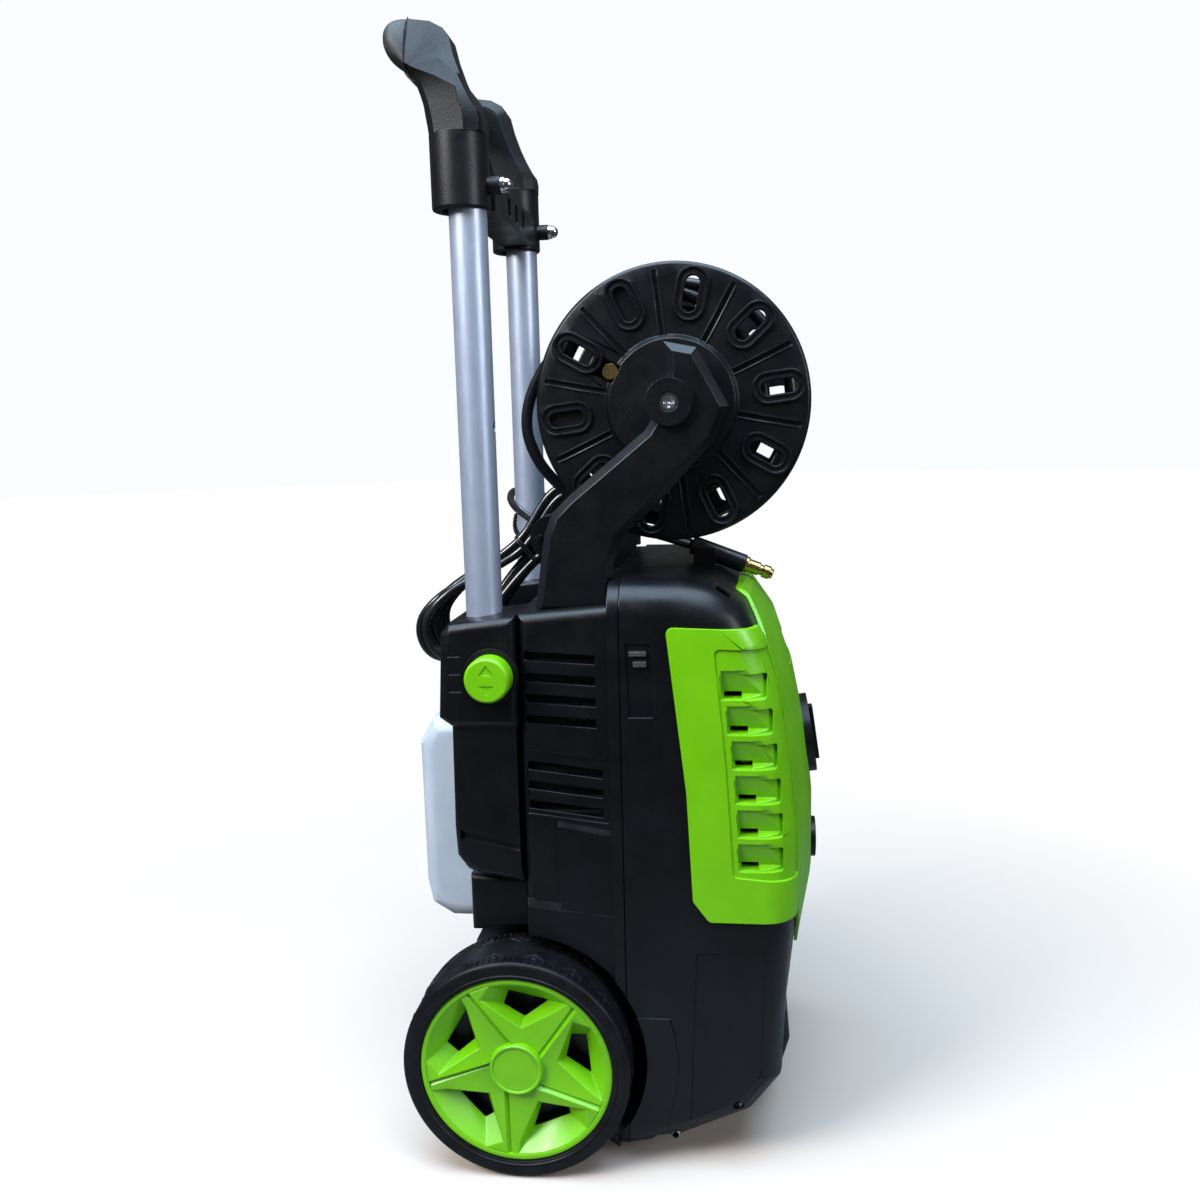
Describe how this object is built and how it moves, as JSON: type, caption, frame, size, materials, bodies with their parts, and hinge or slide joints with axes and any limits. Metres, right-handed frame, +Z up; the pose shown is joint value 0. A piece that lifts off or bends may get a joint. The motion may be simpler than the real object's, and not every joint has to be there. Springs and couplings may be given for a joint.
{
  "type": "pressure washer",
  "caption": "Upright electric pressure washer on wheels with a telescopic handle, a hose reel, release buttons, a power knob and a lift-out detergent tank.",
  "frame": {"origin": "on the floor, under the centre of the machine's outline without the power cord", "axes": "+X is the machine's left, -Y its front, +Z up"},
  "size_m": [0.32, 0.3494, 0.868],
  "materials": {
    "shell": "satin moulded plastic",
    "trim": "fine-grained moulded plastic",
    "lime": "semi-gloss moulded plastic",
    "rubber": "matte rubber",
    "grip_skin": "soft-touch rubber",
    "tyre": "matte moulded rubber",
    "hose_rubber": "smooth rubber hose",
    "cord": "glossy cord sheath",
    "steel": "zinc plated",
    "chrome": "bright plated",
    "anodised": "satin anodised",
    "motor_iron": "painted motor can",
    "pump_alloy": "cast alloy",
    "brass": "turned brass",
    "milky": "translucent moulded plastic"
  },
  "bodies": {
    "chassis": {"rear_housing": "shell", "front_housing": "shell", "column_left": "shell", "column_right": "shell", "side_panel_left": "lime", "side_panel_right": "lime", "front_panel": "lime", "arm_left": "shell", "arm_right": "shell", "front_foot": "trim", "foot_pads": "rubber", "axle": "steel", "motor": "motor_iron", "pump": "pump_alloy", "switch_box": "trim", "water_inlet": "trim", "switch_bezel": "trim", "button_rings": "trim", "button_spring_left": "steel", "button_spring_right": "steel", "hose_tail": "hose_rubber", "hose_sleeve": "hose_rubber", "hose_fitting": "brass", "cord_gland": "trim", "power_cord": "cord", "cord_hank": "cord", "plug": "cord", "cord_ties": "trim", "side_clips": "steel", "housing_screws": "steel"},
    "wheel_left": {"tyre_left": "tyre", "wheel_left": "lime", "hub_cap_left": "lime"},
    "wheel_right": {"tyre_right": "tyre", "wheel_right": "lime", "hub_cap_right": "lime"},
    "handle": {"tube_left": "anodised", "tube_right": "anodised", "grip_left": "trim", "grip_right": "trim", "grip_bar": "grip_skin", "crossbar": "trim", "handle_bolts": "steel", "bolt_collars": "trim", "dome_nuts": "chrome"},
    "reel": {"flange_left": "shell", "flange_right": "shell", "drum": "trim", "reel_axle": "steel", "reel_screw": "steel", "hose_connector": "brass", "hose_coil": "hose_rubber", "crank": "trim"},
    "crank_grip": {"crank_knob": "shell"},
    "power_knob": {"knob": "shell"},
    "tank": {"detergent_tank": "milky"},
    "cap": {"tank_cap": "trim"},
    "release_left": {"button_left": "lime"},
    "release_right": {"button_right": "lime"},
    "rotor": {"motor_fan": "trim"}
  },
  "joints": [
    {"name": "handle_slide", "type": "slide", "parent": "chassis", "child": "handle", "axis": [0, 0, 1], "range_m": [-0.183, 0]},
    {"name": "wheel_left_spin", "type": "hinge", "parent": "chassis", "child": "wheel_left", "pos_m": [0.13, 0.069, 0.0905], "axis": [1, 0, 0], "continuous": true},
    {"name": "wheel_right_spin", "type": "hinge", "parent": "chassis", "child": "wheel_right", "pos_m": [-0.13, 0.069, 0.0905], "axis": [1, 0, 0], "continuous": true},
    {"name": "reel_spin", "type": "hinge", "parent": "chassis", "child": "reel", "pos_m": [0, -0.054, 0.5945], "axis": [1, 0, 0], "continuous": true},
    {"name": "crank_grip_spin", "type": "hinge", "parent": "reel", "child": "crank_grip", "pos_m": [0.145, -0.087, 0.65166], "axis": [1, 0, 0], "continuous": true},
    {"name": "power_turn", "type": "hinge", "parent": "chassis", "child": "power_knob", "pos_m": [0, -0.162, 0.318], "axis": [0, -0.9903, 0.1392], "range_deg": [-90, 0]},
    {"name": "tank_pull", "type": "slide", "parent": "chassis", "child": "tank", "axis": [0, 1, 0], "range_m": [0, 0.1]},
    {"name": "cap_turn", "type": "hinge", "parent": "tank", "child": "cap", "pos_m": [0, 0.112, 0.35], "axis": [0, 0, 1], "range_deg": [0, 360]},
    {"name": "release_left_press", "type": "slide", "parent": "chassis", "child": "release_left", "axis": [-1, 0, 0], "range_m": [0, 0.006], "stiffness_N_per_m": 1500, "deforming": ["button_spring_left"]},
    {"name": "release_right_press", "type": "slide", "parent": "chassis", "child": "release_right", "axis": [1, 0, 0], "range_m": [0, 0.006], "stiffness_N_per_m": 1500, "deforming": ["button_spring_right"]},
    {"name": "rotor_spin", "type": "hinge", "parent": "chassis", "child": "rotor", "pos_m": [0, -0.046, 0.3], "axis": [0, 0, 1], "continuous": true}
  ]
}
